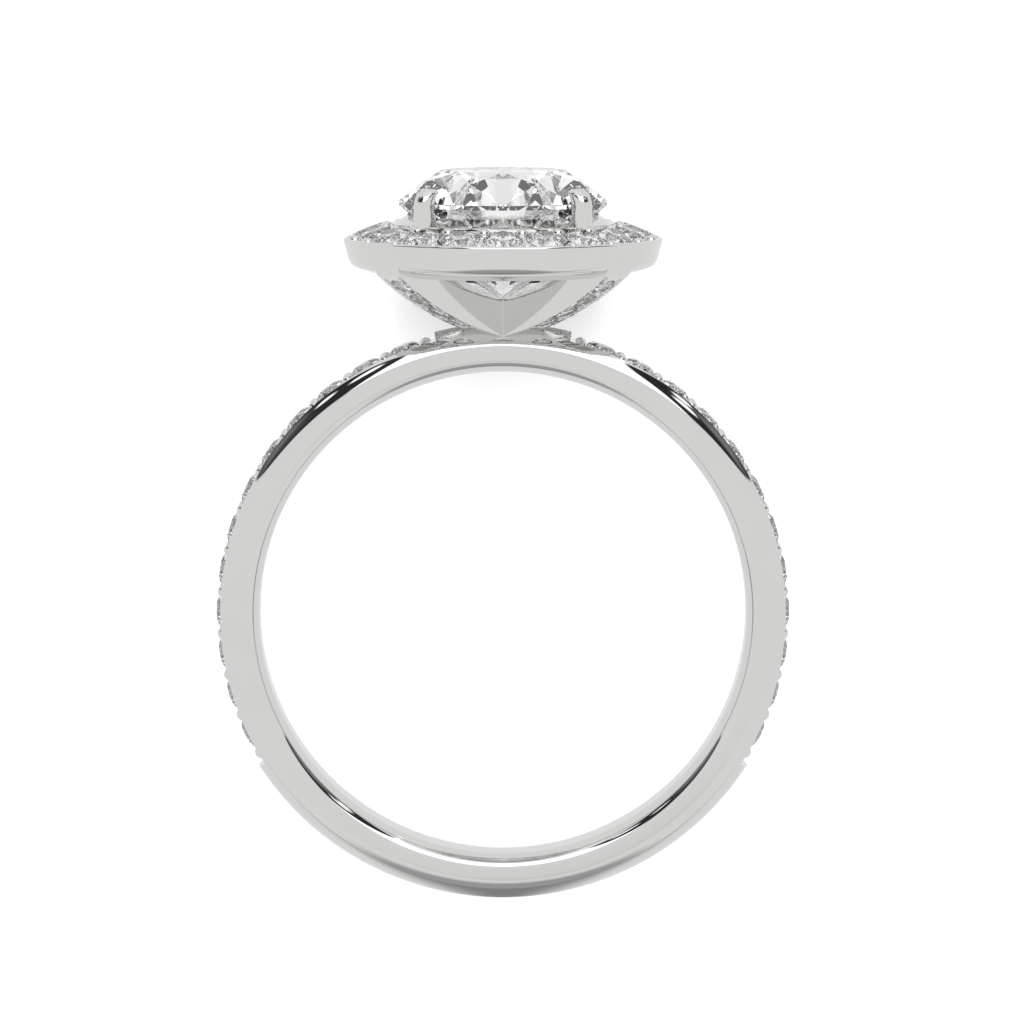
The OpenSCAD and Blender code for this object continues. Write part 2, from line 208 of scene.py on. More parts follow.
BED_IN = Vector((HALO_INNER + RIM_WIDTH, INNER_RIM_TOP - BED_DEPTH))
BED_MID = (BED_OUT + BED_IN) / 2
BED_SLOPE = math.degrees(math.atan2(BED_IN[1] - BED_OUT[1], BED_OUT[0] - BED_IN[0]))

RIB_UP = ROUND_START + WALL_IN * RIB_INSET
RIB_END = RIB_UP - WALL_UP * (RIB_UP[1] - CORNER[1] + RIB_END_DROP) / WALL_UP[1]
RIB_CLIMB = RIB_END[1] - RIB_FOOT
RIB_ARC = (RIB_END[0] ** 2 + RIB_CLIMB**2) / (
    2 * (RIB_CLIMB * math.cos(RIB_SLOPE) - RIB_END[0] * math.sin(RIB_SLOPE))
)
RIB_CENTRE = Vector((-RIB_ARC * math.sin(RIB_SLOPE), RIB_FOOT + RIB_ARC * math.cos(RIB_SLOPE)))
RIB_END_ANGLE = math.asin((RIB_END[0] - RIB_CENTRE[0]) / RIB_ARC)
RIB_TOP_CENTRE = Vector(
    (-RIB_TOP_ARC * math.sin(RIB_TOP_SLOPE), RIB_TOP + RIB_TOP_ARC * math.cos(RIB_TOP_SLOPE))
)


def resting(point):
    """A point of the upright ring, moved to where it is on the lying ring."""
    x, y, z = point
    tilt = math.radians(REST_TILT)
    return (
        x,
        y * math.sin(tilt) + z * math.cos(tilt) + REST_SHIFT,
        z * math.sin(tilt) - y * math.cos(tilt) + REST_LIFT,
    )


def place_camera():
    """The camera at the picture's angle to the ring."""
    data = bpy.data.cameras.new("front_view")
    data.lens = CAMERA_LENS
    data.sensor_width = CAMERA_SENSOR
    data.shift_x = CAMERA_SHIFT
    data.clip_start, data.clip_end = CAMERA_CLIP
    camera = bpy.data.objects.new("front_view", data)
    bpy.context.scene.collection.objects.link(camera)
    camera.location = resting((0, -CAMERA_BACK, CAMERA_HEIGHT))
    camera.rotation_euler = (math.radians(REST_TILT - CAMERA_DIP), 0, 0)
    bpy.context.scene.camera = camera


# Mesh tools, all in the millimetres of the upright ring
def take(piece):
    """Makes a piece the only one selected."""
    bpy.ops.object.select_all(action="DESELECT")
    bpy.context.view_layer.objects.active = piece
    piece.select_set(True)
    return piece


def arc(centre, radius, start, end, steps):
    """Points along an arc from one angle to another, in degrees."""
    turns = [math.radians(start + (end - start) * k / steps) for k in range(steps + 1)]
    return [(centre[0] + radius * math.cos(t), centre[1] + radius * math.sin(t)) for t in turns]


def outline(name, points):
    """A closed outline through points in space, as the only object selected."""
    mesh = bpy.data.meshes.new(name)
    count = len(points)
    mesh.from_pydata(points, [(k, (k + 1) % count) for k in range(count)], [])
    piece = bpy.data.objects.new(name, mesh)
    bpy.context.scene.collection.objects.link(piece)
    return take(piece)


def spun(name, section, axis, steps, start=0.0, sweep=360.0, ends=True):
    """An outline of (radius, height) points spun round the Y or Z axis, with or without its ends."""
    first = math.radians(start)
    if axis == "Y":
        points = [(r * math.sin(first), h, r * math.cos(first)) for r, h in section]
    else:
        points = [(r * math.cos(first), r * math.sin(first), h) for r, h in section]
    piece = outline(name, points)
    way = (0, -1, 0) if axis == "Y" else (0, 0, -1)
    bpy.ops.object.mode_set(mode="EDIT")
    bpy.ops.mesh.select_all(action="SELECT")
    bpy.ops.mesh.spin(steps=steps, angle=math.radians(sweep), center=(0, 0, 0), axis=way)
    if ends:
        tidy_shell()
    else:
        bpy.ops.object.mode_set(mode="OBJECT")
    return piece


def tidy_shell():
    """Merges doubles, fills holes and turns all faces outwards, in edit mode, then leaves it."""
    bpy.ops.mesh.select_all(action="SELECT")
    bpy.ops.mesh.remove_doubles(threshold=1e-4)
    bpy.ops.mesh.fill_holes(sides=0)
    bpy.ops.mesh.select_all(action="SELECT")
    bpy.ops.mesh.normals_make_consistent(inside=False)
    bpy.ops.object.mode_set(mode="OBJECT")


def turn(axis, degrees):
    """A turn round an axis through the middle."""
    return Matrix.Rotation(math.radians(degrees), 4, axis)


def shift(x, y, z):
    """A move."""
    return Matrix.Translation((x, y, z))


def joined(name, pieces):
    """Pieces made into one object."""
    take(pieces[0])
    for piece in pieces:
        piece.select_set(True)
    if len(pieces) > 1:
        bpy.ops.object.join()
    pieces[0].name = name
    pieces[0].data.name = name
    return pieces[0]


def copied(name, model, places):
    """Copies of a piece at each place, each with its own mesh, made into one object."""
    copies = []
    for place in places:
        mesh = model.data.copy()
        mesh.transform(place)
        copy = bpy.data.objects.new(name, mesh)
        bpy.context.scene.collection.objects.link(copy)
        copies.append(copy)
    bpy.data.objects.remove(model)
    return joined(name, copies)


def cut(piece, tool, operation="DIFFERENCE", overlaps=False):
    """Cuts one solid out of another, or joins them, and removes the tool. Overlaps: the piece has some."""
    take(piece)
    change = piece.modifiers.new("cut", "BOOLEAN")
    change.operation = operation
    change.solver = "EXACT"
    change.use_self = overlaps
    change.object = tool
    bpy.ops.object.modifier_apply(modifier="cut")
    bpy.data.objects.remove(tool)


def finish_metal(piece, finish):
    """Smooths a finished piece, lays it down with the ring, gives it its finish, sets it under the ring's
    root and hides the CAD metal.
    """
    take(piece)
    bpy.ops.object.shade_smooth_by_angle(angle=math.radians(SHARP))
    even = piece.modifiers.new("even", "WEIGHTED_NORMAL")
    even.keep_sharp = True
    bpy.ops.object.modifier_apply(modifier="even")
    lie = shift(0, REST_SHIFT, REST_LIFT) @ turn("X", REST_TILT - 90) @ Matrix.Scale(MM, 4)
    piece.data.transform(lie)
    piece.data.materials.clear()
    piece.data.materials.append(finish)
    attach(piece, "root")
    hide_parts("ring_metal")


# Places of the stones and beads
def band_places(steps, side_shift, lift):
    """Places along both rows of the band: steps from the first stone, sideways moves and height."""
    places = []
    for side in (-1, 1):
        for k in steps:
            angle = side * (BAND_FIRST + k * BAND_STEP)
            places += [turn("Y", angle) @ shift(0, y, lift) for y in side_shift]
    return places


def halo_places(half_step, run, lift):
    """Places round the halo's stone bed: part of a step on, moves down the bed's slope and height."""
    places = []
    for k in range(HALO_STONES):
        angle = -90 + (k + half_step) * 360 / HALO_STONES
        bed = turn("Z", angle) @ shift(BED_MID[0], 0, BED_MID[1]) @ turn("Y", BED_SLOPE)
        places += [bed @ shift(x, 0, lift) for x in run]
    return places


def four_ways(angle):
    """The four diagonal turns at an angle out of the band's plane."""
    return [turn("Z", end + side * angle) for end in (0, 180) for side in (-1, 1)]


def rib_places(steps, side_shift, lift):
    """Places along the lower faces of the ribs, facing down: steps, sideways moves and height."""
    places = []
    first = math.degrees(RIB_END_ANGLE - RIB_FIRST / RIB_ARC)
    step = math.degrees(RIB_PITCH / RIB_ARC)
    for way in four_ways(RIB_TURN):
        for k in steps:
            spot = way @ shift(RIB_CENTRE[0], 0, RIB_CENTRE[1]) @ turn("Y", k * step - first)
            face = spot @ shift(0, 0, -RIB_ARC) @ turn("X", 180)
            places += [face @ shift(0, y, lift) for y in side_shift]
    return places


def table_top(size):
    """Height of a stone's table above the bottom of its girdle."""
    return size * GIRDLE_SHARE + size / 2 * (1 - TABLE_SHARE) * CROWN_TAN


def seat(size, way_in):
    """The space a small stone needs: its seat, and the way in from above."""
    r = size / 2 + SEAT_GAP
    return spun("seat", [(0, -r * POINT_TAN), (r, 0), (r, way_in), (0, way_in)], "Z", SEAT_STEPS)


def bead(radius):
    """A round bead of metal at the middle."""
    bpy.ops.object.select_all(action="DESELECT")
    bpy.ops.mesh.primitive_uv_sphere_add(segments=BEAD_SIDES, ring_count=BEAD_SIDES // 2, radius=radius)
    return bpy.context.object


def half_band_section():
    """One side of the band's outline, from the middle of the bore to the edge of the flats."""
    edge = (BORE_RADIUS + EDGE_ARC, HALF_BORE_FLAT)
    inner_h = HALF_BAND - INNER_CORNER
    inner_run = math.sqrt((EDGE_ARC - INNER_CORNER) ** 2 - (inner_h - edge[1]) ** 2)
    inner_turn = 180 - math.degrees(math.atan2(inner_h - edge[1], inner_run))
    outer_h = HALF_BAND - OUTER_CORNER
    outer_run = math.sqrt((DOME_ARC - OUTER_CORNER) ** 2 - outer_h**2)
    outer_turn = math.degrees(math.atan2(outer_h, outer_run))
    flat_turn = math.degrees(math.atan2(BAND_FLAT_HALF, BAND_FLAT_RADIUS - DOME_CENTRE))
    points = arc(edge, EDGE_ARC, 180, inner_turn, CORNER_STEPS)
    points += arc((edge[0] - inner_run, inner_h), INNER_CORNER, inner_turn, 90, CORNER_STEPS)[1:]
    points += arc((DOME_CENTRE + outer_run, outer_h), OUTER_CORNER, 90, outer_turn, CORNER_STEPS)
    points += arc((DOME_CENTRE, 0), DOME_ARC, outer_turn, flat_turn, DOME_EDGE_STEPS)[1:]
    return points, flat_turn


def build_band(finish):
    """The band, spun in four stretches: plain at top and bottom, flat topped at the sides."""
    side, flat_turn = half_band_section()
    other = [(r, -h) for r, h in reversed(side)]
    dome = arc((DOME_CENTRE, 0), DOME_ARC, flat_turn, -flat_turn, DOME_STEPS)[1:-1]
    cut_start = BAND_FIRST - BAND_MARGIN * BAND_STEP
    cut_end = BAND_FIRST + (BAND_STONES - 1 + BAND_MARGIN) * BAND_STEP
    top_steps, side_steps, bottom_steps = BAND_STEPS
    stretches = [
        (dome, -cut_start, cut_start, top_steps),
        ([], cut_start, cut_end, side_steps),
        (dome, cut_end, 360 - cut_end, bottom_steps),
        ([], -cut_end, -cut_start, side_steps),
    ]
    parts = []
    for top, start, end, steps in stretches:
        section = side + top + other
        parts.append(spun("stretch", section, "Y", steps, start, end - start, ends=False))
    band = joined("band_white_gold", parts)
    bpy.ops.object.mode_set(mode="EDIT")
    tidy_shell()
    lift = BAND_FLAT_RADIUS + BAND_TABLE - table_top(BAND_STONE)
    places = band_places(range(BAND_STONES), (0,), lift)
    cut(band, copied("seats", seat(BAND_STONE, BAND_SEAT_RISE), places))
    finish_metal(band, finish)


def halo_section():
    """The halo's outline: flat underside, slope, leaning wall, lip, stone bed, inner rim and collar."""
    lean = math.degrees(WALL_LEAN)
    slope = math.degrees(UNDER_SLOPE)
    under_middle = (UNDER_FLAT - UNDER_ROUND * math.tan(UNDER_SLOPE / 2), HALO_UNDER + UNDER_ROUND)
    points = [(HALO_INNER, HALO_UNDER)]
    points += arc(under_middle, UNDER_ROUND, -90, slope - 90, UNDER_STEPS)
    points += arc(ROUND_CENTRE, HALO_ROUND, slope - 90, -lean, CORNER_STEPS)
    along = (BED_IN - BED_OUT).normalized()
    away = BED_OUT - LIP_CENTRE
    reach = -away.dot(along) + math.sqrt(away.dot(along) ** 2 - away.dot(away) + LIP_RADIUS**2)
    meet = away + along * reach
    lip_end = 360 + math.degrees(math.atan2(meet[1], meet[0]))
    points += arc(LIP_CENTRE, LIP_RADIUS, -lean, lip_end, LIP_STEPS)
    points += [tuple(BED_IN), (BED_IN[0], INNER_RIM_TOP), (HALO_INNER, INNER_RIM_TOP)]
    collar_r = HALO_INNER - COLLAR_REACH
    collar_top = INNER_RIM_TOP + COLLAR_RISE
    points += [(collar_r, collar_top), (collar_r, collar_top - COLLAR_THICK)]
    points += [(HALO_INNER, INNER_RIM_TOP - COLLAR_REACH)]
    return points


def build_halo(finish):
    """The halo, spun whole, with the seats of its stones cut."""
    halo = spun("halo_white_gold", halo_section(), "Z", HALO_STEPS)
    lift = HALO_TABLE - table_top(HALO_STONE)
    cut(halo, copied("seats", seat(HALO_STONE, HALO_SEAT_RISE), halo_places(0, (0,), lift)))
    finish_metal(halo, finish)


def rib_bar(angle):
    """Two opposite ribs as one curved bar, standing at an angle out of the band's plane."""
    end = math.degrees(RIB_END_ANGLE) - 90
    start = math.degrees(RIB_SLOPE) - 90
    lower = arc(RIB_CENTRE, RIB_ARC, start, end, RIB_STEPS)
    rise = RIB_UP[1] - RIB_TOP_CENTRE[1]
    top_end = math.degrees(math.atan2(rise, math.sqrt(RIB_TOP_ARC**2 - rise**2)))
    top_start = math.degrees(RIB_TOP_SLOPE) - 90
    upper = arc(RIB_TOP_CENTRE, RIB_TOP_ARC, top_end, top_start, RIB_STEPS)
    half = lower + [tuple(RIB_UP)] + upper
    section = half + [(-x, z) for x, z in reversed(half[1:-1])]
    bar = outline("bar", [(x, -RIB_WIDTH / 2, z) for x, z in section])
    bpy.ops.object.mode_set(mode="EDIT")
    bpy.ops.mesh.select_all(action="SELECT")
    bpy.ops.mesh.edge_face_add()
    bpy.ops.mesh.extrude_region_move(TRANSFORM_OT_translate={"value": (0, RIB_WIDTH, 0)})
    tidy_shell()
    bar.data.transform(turn("Z", angle))
    return bar


def rib_channels():
    """The shallow channel along the lower face of each rib, as a tool that cuts it."""
    first = math.degrees(RIB_END_ANGLE - (RIB_FIRST - RIB_PITCH / 2) / RIB_ARC)
    sweep = math.degrees(RIB_PITCH * RIB_STONES / RIB_ARC)
    low, high = RIB_ARC - CHANNEL_DEPTH, RIB_ARC + OVER
    section = [(low, -CHANNEL_HALF), (high, -CHANNEL_HALF), (high, CHANNEL_HALF), (low, CHANNEL_HALF)]
    channel = spun("channel", section, "Y", CHANNEL_STEPS, 180 - first, sweep)
    channel.data.transform(shift(RIB_CENTRE[0], 0, RIB_CENTRE[1]))
    return copied("channels", channel, four_ways(RIB_TURN))


def light_holes():
    """The light holes behind the inner stones of each rib, as a tool that cuts them."""
    length = RIB_TOP - RIB_FOOT + RIDGE_RADIUS
    hole_r = RIB_STONE / 2 * HOLE_SHARE
    bpy.ops.object.select_all(action="DESELECT")
    bpy.ops.mesh.primitive_cylinder_add(vertices=HOLE_SIDES, radius=hole_r, depth=length)
    hole = bpy.context.object
    hole.data.transform(shift(0, 0, -length / 2 - OVER))
    return copied("holes", hole, rib_places(HOLE_STONES, (0,), 0))


def build_ribs(finish):
    """The gallery: two crossing bars with soft edges, channels, stone seats and light holes."""
    ribs = rib_bar(RIB_TURN)
    cut(ribs, rib_bar(-RIB_TURN), "UNION")
    joined("gallery_ribs", [ribs])
    bpy.ops.object.mode_set(mode="EDIT")
    bpy.ops.mesh.select_mode(type="EDGE")
    bpy.ops.mesh.select_all(action="DESELECT")
    bpy.ops.mesh.edges_select_sharp(sharpness=math.radians(SHARP))
    bpy.ops.mesh.bevel(offset=RIB_ROUND, segments=3, profile=0.5, clamp_overlap=True)
    tidy_shell()
    cut(ribs, rib_channels())
    lift = RIB_TABLE - table_top(RIB_STONE)
    places = rib_places(range(RIB_STONES), (0,), lift)
    cut(ribs, copied("seats", seat(RIB_STONE, RIB_SEAT_RISE), places))
    cut(ribs, light_holes())
    finish_metal(ribs, finish)


def build_ridges(finish):
    """The round ridge along the top of each rib, from past the crossing into the halo."""
    end = (HALO_INNER + UNDER_FLAT) / 2
    run = (end - RIDGE_RADIUS * math.sin(RIDGE_SLOPE)) / math.cos(RIDGE_SLOPE)
    length = run + RIDGE_RADIUS
    bpy.ops.object.select_all(action="DESELECT")
    bpy.ops.mesh.primitive_cylinder_add(vertices=RIDGE_SIDES, radius=RIDGE_RADIUS, depth=length)
    ridge = bpy.context.object
    lean = turn("Y", 90 - math.degrees(RIDGE_SLOPE))
    ridge.data.transform(shift(RIDGE_RADIUS, 0, length / 2 - RIDGE_RADIUS))
    ridge.data.transform(shift(0, 0, RIB_TOP + RIDGE_RISE) @ lean)
    ridges = copied("rib_ridges", ridge, four_ways(RIB_TURN))
    cut(ridges, light_holes(), overlaps=True)
    finish_metal(ridges, finish)


def claw_rings():
    """Rings of a claw as (middle, radius, height): a round post that bends in, and its cap."""
    rings = [(CLAW_AXIS, CLAW_RADIUS, HALO_UNDER - RIDGE_RADIUS)]
    for k in range(CLAW_BEND_STEPS + 1):
        bend = math.radians(CLAW_BEND_END * k / CLAW_BEND_STEPS)
        way_in = CLAW_BEND * (1 - math.cos(bend))
        height = CLAW_TIP - CLAW_BEND_DROP + CLAW_BEND * math.sin(bend)
        rings.append((CLAW_AXIS - way_in, CLAW_RADIUS, height))
    for drop, way_in, radius in CLAW_CAP:
        rings.append((CLAW_AXIS - way_in + CLAW_RADIUS - radius, radius, CLAW_TIP - drop))
    return rings


def build_claws(finish):
    """Four claws, each a stack of rings bridged into one post, with room cut for the centre stone."""
    bpy.ops.object.select_all(action="DESELECT")
    for k, (middle, radius, height) in enumerate(claw_rings()):
        place = (middle, 0, height)
        bpy.ops.mesh.primitive_circle_add(vertices=CLAW_SIDES, radius=radius, location=place)
        if k == 0:
            claw = bpy.context.object
            bpy.ops.object.transform_apply(location=True)
            bpy.ops.object.mode_set(mode="EDIT")
    bpy.ops.mesh.select_all(action="SELECT")
    bpy.ops.mesh.bridge_edge_loops()
    tidy_shell()
    claws = copied("claws", claw, four_ways(CLAW_TURN))
    girdle_r = CENTRE_RADIUS + SEAT_GAP
    girdle_top = 2 * CENTRE_RADIUS * GIRDLE_SHARE + SEAT_GAP
    table_r = CENTRE_RADIUS * TABLE_SHARE + SEAT_GAP
    top = table_top(2 * CENTRE_RADIUS) + SEAT_GAP
    room = [(0, -girdle_r * POINT_TAN - SEAT_GAP), (girdle_r, -SEAT_GAP), (girdle_r, girdle_top)]
    room += [(table_r, top), (0, top)]
    stone_room = spun("room", [(x, z + GIRDLE_Z) for x, z in room], "Z", ROOM_STEPS)
    cut(claws, stone_room)
    finish_metal(claws, finish)


def build_beads(finish):
    """The beads between the stones of the band, the halo and the ribs."""
    half_steps = [k - 0.5 for k in range(BAND_STONES + 1)]
    top = BAND_FLAT_RADIUS + BAND_TABLE - BEAD_DROP - BAND_BEAD
    places = band_places(half_steps, (-BAND_BEAD_SIDE, BAND_BEAD_SIDE), top)
    finish_metal(copied("band_beads", bead(BAND_BEAD), places), finish)
    top = HALO_TABLE - BEAD_DROP - HALO_BEAD
    places = halo_places(0.5, HALO_BEAD_PLACES, top)
    finish_metal(copied("halo_beads", bead(HALO_BEAD), places), finish)
    half_steps = [k - 0.5 for k in range(RIB_STONES + 1)]
    places = rib_places(half_steps, (-RIB_BEAD_SIDE, RIB_BEAD_SIDE), RIB_BEAD_RISE - RIB_BEAD)
    finish_metal(copied("rib_beads", bead(RIB_BEAD), places), finish)


# Node tools
def group(name, inputs, outputs):
    """A new node group with named sockets, and its input and output nodes."""
    tree = bpy.data.node_groups.new(name, "ShaderNodeTree")
    for label, kind, value in inputs:
        socket = tree.interface.new_socket(name=label, in_out="INPUT", socket_type=kind)
        socket.default_value = value
    for label, kind in outputs:
        tree.interface.new_socket(name=label, in_out="OUTPUT", socket_type=kind)
    return tree, tree.nodes.new("NodeGroupInput"), tree.nodes.new("NodeGroupOutput")


def new_node(tree, kind, settings=None, **values):
    """A node with its settings and the values of its sockets, whose names have _ for a space."""
    node = tree.nodes.new(kind)
    for key, value in (settings or {}).items():
        setattr(node, key, value)
    for key, value in values.items():
        node.inputs[key.replace("_", " ")].default_value = value
    return node


def feed(tree, source, socket):
    """Gives a socket its source: another socket, a number or a colour."""
    if isinstance(source, bpy.types.NodeSocket):
        tree.links.new(source, socket)
    else:
        socket.default_value = source


def worked(tree, operation, *sources):
    """What a math node makes of its sources."""
    step = new_node(tree, "ShaderNodeMath", {"operation": operation})
    for k, source in enumerate(sources):
        feed(tree, source, step.inputs[k])
    return step.outputs[0]


def blend(tree, share, under, over):
    """A mix of two colours by a share of the second."""
    mix = new_node(tree, "ShaderNodeMix", {"data_type": "RGBA"})
    feed(tree, share, mix.inputs["Factor"])
    feed(tree, under, mix.inputs[6])
    feed(tree, over, mix.inputs[7])
    return mix.outputs[2]


def grey(tone):
    """An even grey as a colour."""
    return (tone, tone, tone, 1)


def ramp(tree, source, interpolation, stops):
    """Greys by a number from 0 to 1, with stops as (place, tone)."""
    made = new_node(tree, "ShaderNodeValToRGB")
    made.color_ramp.interpolation = interpolation
    steps = made.color_ramp.elements
    steps.remove(steps[1])
    for k, (place, tone) in enumerate(stops):
        step = steps[0] if k == 0 else steps.new(place)
        step.position = place
        step.color = grey(tone)
    tree.links.new(source, made.inputs["Fac"])
    return made.outputs["Color"]


def material(name):
    """A new material with an empty node tree but for its output."""
    made = bpy.data.materials.new(name)
    made.use_nodes = True
    tree = made.node_tree
    tree.nodes.clear()
    return made, tree, tree.nodes.new("ShaderNodeOutputMaterial")


# Finishes
# White gold where its film is thick and thin, and a brighter tone on its edges that is a painted highlight
GOLD_FILMED = (0.725, 0.722, 0.712, 1)
GOLD_CLEAN = (0.755, 0.752, 0.745, 1)
GOLD_EDGE_HIGHLIGHT = (0.86, 0.858, 0.85, 1)
# Polish marks: how they are drawn out along the axes, the shares they span, their strength and depth
POLISH_DRAWN = (1.0, 0.12, 1.0)
POLISH_SPAN = (0.1, 0.45)
POLISH_STRENGTH = 0.02
POLISH_DEPTH = 0.000002
# Diamond: how strongly it bends light, and how rough its polish lines are
DIAMOND_INDEX = 2.42
DIAMOND_ROUGH = 0.012
# Polish lines to the metre on large and small stones, and how much light each kind lets through
LARGE_LINES = 5000.0
SMALL_LINES = 12000.0
CENTRE_CLARITY = 0.99
# The halo stones take a darker tint than the other small stones: painted shade on a copy of the same
# diamond
HALO_SHADED_TINT = 0.68
SMALL_CLARITY = 0.9


def polish_group():
    """Marks of the polishing wheel: fine drawn lines and a soft film, as roughness and height."""
    tree, start, end = group(
        "polish_marks",
        [
            ("Vector", "NodeSocketVector", (0, 0, 0)),
            ("Line Scale", "NodeSocketFloat", 9000.0),
            ("Film Scale", "NodeSocketFloat", 600.0),
            ("Smooth", "NodeSocketFloat", 0.02),
            ("Rough", "NodeSocketFloat", 0.07),
        ],
        [("Roughness", "NodeSocketFloat"), ("Height", "NodeSocketFloat"), ("Film", "NodeSocketFloat")],
    )
    drawn = new_node(tree, "ShaderNodeVectorMath", {"operation": "MULTIPLY"})
    drawn.inputs[1].default_value = POLISH_DRAWN
    tree.links.new(start.outputs["Vector"], drawn.inputs[0])
    lines = new_node(tree, "ShaderNodeTexNoise", Detail=3.0)
    film = new_node(tree, "ShaderNodeTexNoise", Detail=2.0)
    tree.links.new(drawn.outputs[0], lines.inputs["Vector"])
    tree.links.new(start.outputs["Vector"], film.inputs["Vector"])
    tree.links.new(start.outputs["Line Scale"], lines.inputs["Scale"])
    tree.links.new(start.outputs["Film Scale"], film.inputs["Scale"])
    both = worked(tree, "MULTIPLY", lines.outputs["Fac"], film.outputs["Fac"])
    low, high = POLISH_SPAN
    span = new_node(tree, "ShaderNodeMapRange", From_Min=low, From_Max=high)
    tree.links.new(both, span.inputs["Value"])
    tree.links.new(start.outputs["Smooth"], span.inputs["To Min"])
    tree.links.new(start.outputs["Rough"], span.inputs["To Max"])
    tree.links.new(span.outputs["Result"], end.inputs["Roughness"])
    tree.links.new(lines.outputs["Fac"], end.inputs["Height"])
    tree.links.new(film.outputs["Fac"], end.inputs["Film"])
    return tree


def edge_group():
    """Painted highlight on edges: how far a rounded normal turns from the real one."""
    tree, start, end = group(
        "painted_edge_highlight",
        [("Width", "NodeSocketFloat", 0.00004), ("Gain", "NodeSocketFloat", 4.0)],
        [("Edge", "NodeSocketFloat")],
    )
    soft = new_node(tree, "ShaderNodeBevel", {"samples": 4})
    plain = new_node(tree, "ShaderNodeNewGeometry")
    tree.links.new(start.outputs["Width"], soft.inputs["Radius"])
    match = new_node(tree, "ShaderNodeVectorMath", {"operation": "DOT_PRODUCT"})
    tree.links.new(soft.outputs["Normal"], match.inputs[0])
    tree.links.new(plain.outputs["Normal"], match.inputs[1])
    turned = worked(tree, "SUBTRACT", 1.0, match.outputs["Value"])
    edge = new_node(tree, "ShaderNodeMath", {"operation": "MULTIPLY", "use_clamp": True})
    tree.links.new(turned, edge.inputs[0])
    tree.links.new(start.outputs["Gain"], edge.inputs[1])
    tree.links.new(edge.outputs[0], end.inputs["Edge"])
    return tree


def white_gold():
    """Polished white gold: a soft film, fine polish lines and brighter edges that are a painted highlight.
    """
    made, tree, out = material("white_gold_polished")
    shader = new_node(tree, "ShaderNodeBsdfPrincipled", Metallic=1.0)
    place = tree.nodes.new("ShaderNodeTexCoord")
    marks = new_node(tree, "ShaderNodeGroup", {"node_tree": polish_group()})
    tree.links.new(place.outputs["Object"], marks.inputs["Vector"])
    edges = new_node(tree, "ShaderNodeGroup", {"node_tree": edge_group()})
    tint = blend(tree, marks.outputs["Film"], GOLD_FILMED, GOLD_CLEAN)
    # The edges get a brighter tint: a painted highlight
    edge_highlight_tint = blend(tree, edges.outputs["Edge"], tint, GOLD_EDGE_HIGHLIGHT)
    tree.links.new(edge_highlight_tint, shader.inputs["Base Color"])
    tree.links.new(marks.outputs["Roughness"], shader.inputs["Roughness"])
    bump = new_node(tree, "ShaderNodeBump", Strength=POLISH_STRENGTH, Distance=POLISH_DEPTH)
    tree.links.new(marks.outputs["Height"], bump.inputs["Height"])
    tree.links.new(bump.outputs["Normal"], shader.inputs["Normal"])
    tree.links.new(shader.outputs["BSDF"], out.inputs["Surface"])
    return made


def diamond(name, line_scale, clarity):
    """A clear cut stone, with faint polish lines on its facets."""
    made, tree, out = material(name)
    shader = new_node(tree, "ShaderNodeBsdfPrincipled", IOR=DIAMOND_INDEX, Transmission_Weight=1.0)
    place = tree.nodes.new("ShaderNodeTexCoord")
    marks = new_node(
        tree,
        "ShaderNodeGroup",
        {"node_tree": bpy.data.node_groups["polish_marks"]},
        Line_Scale=line_scale,
        Smooth=0.0,
        Rough=DIAMOND_ROUGH,
    )
    tree.links.new(place.outputs["Object"], marks.inputs["Vector"])
    tint = blend(
        tree,
        marks.outputs["Film"],
        (clarity - 0.01, clarity - 0.005, clarity, 1),
        grey(clarity),
    )
    tree.links.new(tint, shader.inputs["Base Color"])
    tree.links.new(marks.outputs["Roughness"], shader.inputs["Roughness"])
    tree.links.new(shader.outputs["BSDF"], out.inputs["Surface"])
    return made


def dress_stones():
    """Gives the stones their materials."""
    large = diamond("diamond_centre", LARGE_LINES, CENTRE_CLARITY)
    halo = diamond("diamond_halo", SMALL_LINES, HALO_SHADED_TINT)
    small = diamond("diamond_small", SMALL_LINES, SMALL_CLARITY)
    dress = {"centre_stone": large, "halo_stones": halo, "band_stones": small, "rib_stones": small}
    for name, stone in dress.items():
        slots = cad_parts[name].data.materials
        slots.clear()
        slots.append(stone)


# Floor: its size in metres, its tone as seen and as mirrored in the metal, and the light that falls on
# it alone, with how wide that light is in degrees
FLOOR_SIZE = 3
FLOOR_TONE = 0.95
FLOOR_MIRRORED = 0.86
FLOOR_LIGHT = 3.8
FLOOR_LIGHT_SPREAD = 150
# A painted shadow: a darker fan of floor in front of the ring, mirrored in the band's bottom: its
# tone, where it starts, and how far it reaches to each side in degrees, fully and with its soft edge
FAN_SHADOW_TONE = 0.28
FAN_START = -0.0114
FAN_REACH = (5, 70)


